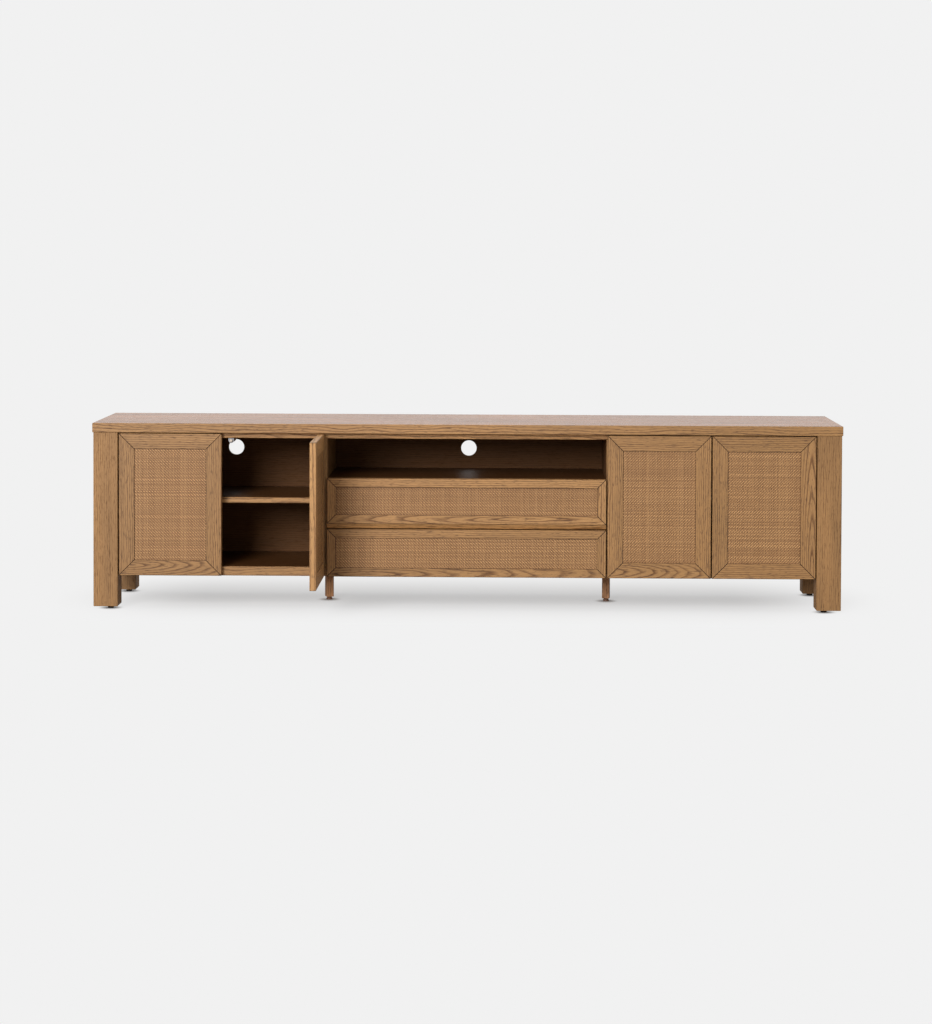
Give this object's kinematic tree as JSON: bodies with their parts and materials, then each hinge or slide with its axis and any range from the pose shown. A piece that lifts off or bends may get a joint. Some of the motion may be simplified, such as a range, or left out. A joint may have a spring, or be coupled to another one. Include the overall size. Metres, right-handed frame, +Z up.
{
  "type": "media unit",
  "caption": "Long low oak cabinet on corner posts, with cane-panelled doors either side of an open bay and two cane-fronted drawers, one door standing open.",
  "frame": {"origin": "on the floor under the middle of the top", "axes": "+X to the right along the front, +Y to the back, +Z up"},
  "size_m": [2.4, 0.7615, 0.6],
  "materials": {
    "oak_veneer": "satin",
    "dark_oak": "satin",
    "cane": "satin",
    "backing": "matt",
    "box_wood": "satin",
    "steel": "plated",
    "runner_steel": "zinc plated",
    "glide_plastic": "moulded",
    "latch_plastic": "moulded",
    "plunger_plastic": "moulded"
  },
  "bodies": {
    "carcass": {"top_slab": "oak_veneer", "post_front_left": "oak_veneer", "post_front_right": "oak_veneer", "post_rear_left": "oak_veneer", "post_rear_right": "oak_veneer", "centre_leg_left": "dark_oak", "centre_leg_right": "dark_oak", "levelling_feet": "glide_plastic", "base_panel": "oak_veneer", "sub_top": "oak_veneer", "side_panel_left": "oak_veneer", "side_panel_right": "oak_veneer", "divider_left": "oak_veneer", "divider_right": "oak_veneer", "end_panel_left": "oak_veneer", "end_panel_right": "oak_veneer", "back_panels": "oak_veneer", "av_shelf": "oak_veneer", "shelf_left": "oak_veneer", "shelf_right": "oak_veneer", "shelf_pins": "steel", "hinge_arms": "steel", "latch_housings": "latch_plastic", "cabinet_rails": "runner_steel"},
    "door_1": {"door_1_frame": "oak_veneer", "door_1_cane": "cane", "door_1_backing": "backing", "door_1_fittings": "steel"},
    "door_1_links": {"door_1_hinge_links": "steel"},
    "door_1_plunger": {"door_1_latch_plunger": "plunger_plastic"},
    "door_2": {"door_2_frame": "oak_veneer", "door_2_cane": "cane", "door_2_backing": "backing", "door_2_fittings": "steel"},
    "door_2_links": {"door_2_hinge_links": "steel"},
    "door_2_plunger": {"door_2_latch_plunger": "plunger_plastic"},
    "door_3": {"door_3_frame": "oak_veneer", "door_3_cane": "cane", "door_3_backing": "backing", "door_3_fittings": "steel"},
    "door_3_links": {"door_3_hinge_links": "steel"},
    "door_3_plunger": {"door_3_latch_plunger": "plunger_plastic"},
    "door_4": {"door_4_frame": "oak_veneer", "door_4_cane": "cane", "door_4_backing": "backing", "door_4_fittings": "steel"},
    "door_4_links": {"door_4_hinge_links": "steel"},
    "door_4_plunger": {"door_4_latch_plunger": "plunger_plastic"},
    "upper_drawer": {"upper_drawer_front": "oak_veneer", "upper_drawer_cane": "cane", "upper_drawer_backing": "backing", "upper_drawer_box": "box_wood", "upper_drawer_rails": "runner_steel"},
    "upper_drawer_middle_rails": {"upper_drawer_middle_rails": "runner_steel"},
    "lower_drawer": {"lower_drawer_front": "oak_veneer", "lower_drawer_cane": "cane", "lower_drawer_backing": "backing", "lower_drawer_box": "box_wood", "lower_drawer_rails": "runner_steel"},
    "lower_drawer_middle_rails": {"lower_drawer_middle_rails": "runner_steel"}
  },
  "joints": [
    {"name": "door_1_link_turn", "type": "hinge", "parent": "carcass", "child": "door_1_links", "pos_m": [-1.0839, -0.19974, 0.3385], "axis": [0, 0, -1], "range_deg": [-20.1, 0]},
    {"name": "door_1_swing", "type": "hinge", "parent": "door_1_links", "child": "door_1", "pos_m": [-1.106, -0.209, 0.3385], "axis": [0, 0, -1], "range_deg": [0, 110]},
    {"name": "door_1_latch_push", "type": "slide", "parent": "carcass", "child": "door_1_plunger", "axis": [0, -1, 0], "range_m": [-0.004, 0], "stiffness_N_per_m": 400},
    {"name": "door_2_link_turn", "type": "hinge", "parent": "carcass", "child": "door_2_links", "pos_m": [-0.4831, -0.19974, 0.3385], "axis": [0, 0, 1], "range_deg": [0, 20.1]},
    {"name": "door_2_swing", "type": "hinge", "parent": "door_2_links", "child": "door_2", "pos_m": [-0.4655, -0.216, 0.3385], "axis": [0, 0, 1], "range_deg": [-110, 0]},
    {"name": "door_2_latch_push", "type": "slide", "parent": "carcass", "child": "door_2_plunger", "axis": [0, -1, 0], "range_m": [-0.004, 0], "stiffness_N_per_m": 400},
    {"name": "door_3_link_turn", "type": "hinge", "parent": "carcass", "child": "door_3_links", "pos_m": [0.4831, -0.19974, 0.3385], "axis": [0, 0, -1], "range_deg": [-20.1, 0]},
    {"name": "door_3_swing", "type": "hinge", "parent": "door_3_links", "child": "door_3", "pos_m": [0.461, -0.209, 0.3385], "axis": [0, 0, -1], "range_deg": [0, 110]},
    {"name": "door_3_latch_push", "type": "slide", "parent": "carcass", "child": "door_3_plunger", "axis": [0, -1, 0], "range_m": [-0.004, 0], "stiffness_N_per_m": 400},
    {"name": "door_4_link_turn", "type": "hinge", "parent": "carcass", "child": "door_4_links", "pos_m": [1.0839, -0.19974, 0.3385], "axis": [0, 0, 1], "range_deg": [-20.1, 0]},
    {"name": "door_4_swing", "type": "hinge", "parent": "door_4_links", "child": "door_4", "pos_m": [1.106, -0.209, 0.3385], "axis": [0, 0, 1], "range_deg": [0, 110]},
    {"name": "door_4_latch_push", "type": "slide", "parent": "carcass", "child": "door_4_plunger", "axis": [0, -1, 0], "range_m": [-0.004, 0], "stiffness_N_per_m": 400},
    {"name": "upper_drawer_slide", "type": "slide", "parent": "carcass", "child": "upper_drawer", "axis": [0, -1, 0], "range_m": [0, 0.33]},
    {"name": "upper_drawer_middle_rail_slide", "type": "slide", "parent": "carcass", "child": "upper_drawer_middle_rails", "axis": [0, -1, 0], "range_m": [0, 0.1651]},
    {"name": "lower_drawer_slide", "type": "slide", "parent": "carcass", "child": "lower_drawer", "axis": [0, -1, 0], "range_m": [0, 0.33]},
    {"name": "lower_drawer_middle_rail_slide", "type": "slide", "parent": "carcass", "child": "lower_drawer_middle_rails", "axis": [0, -1, 0], "range_m": [0, 0.1651]}
  ],
  "couplings": [
    {"joint": "door_1_link_turn", "follows": "door_1_swing", "ratio": -0.18182},
    {"joint": "door_2_link_turn", "follows": "door_2_swing", "ratio": -0.18182},
    {"joint": "door_3_link_turn", "follows": "door_3_swing", "ratio": -0.18182},
    {"joint": "door_4_link_turn", "follows": "door_4_swing", "ratio": -0.18182},
    {"joint": "upper_drawer_middle_rail_slide", "follows": "upper_drawer_slide", "ratio": 0.5},
    {"joint": "lower_drawer_middle_rail_slide", "follows": "lower_drawer_slide", "ratio": 0.5}
  ]
}
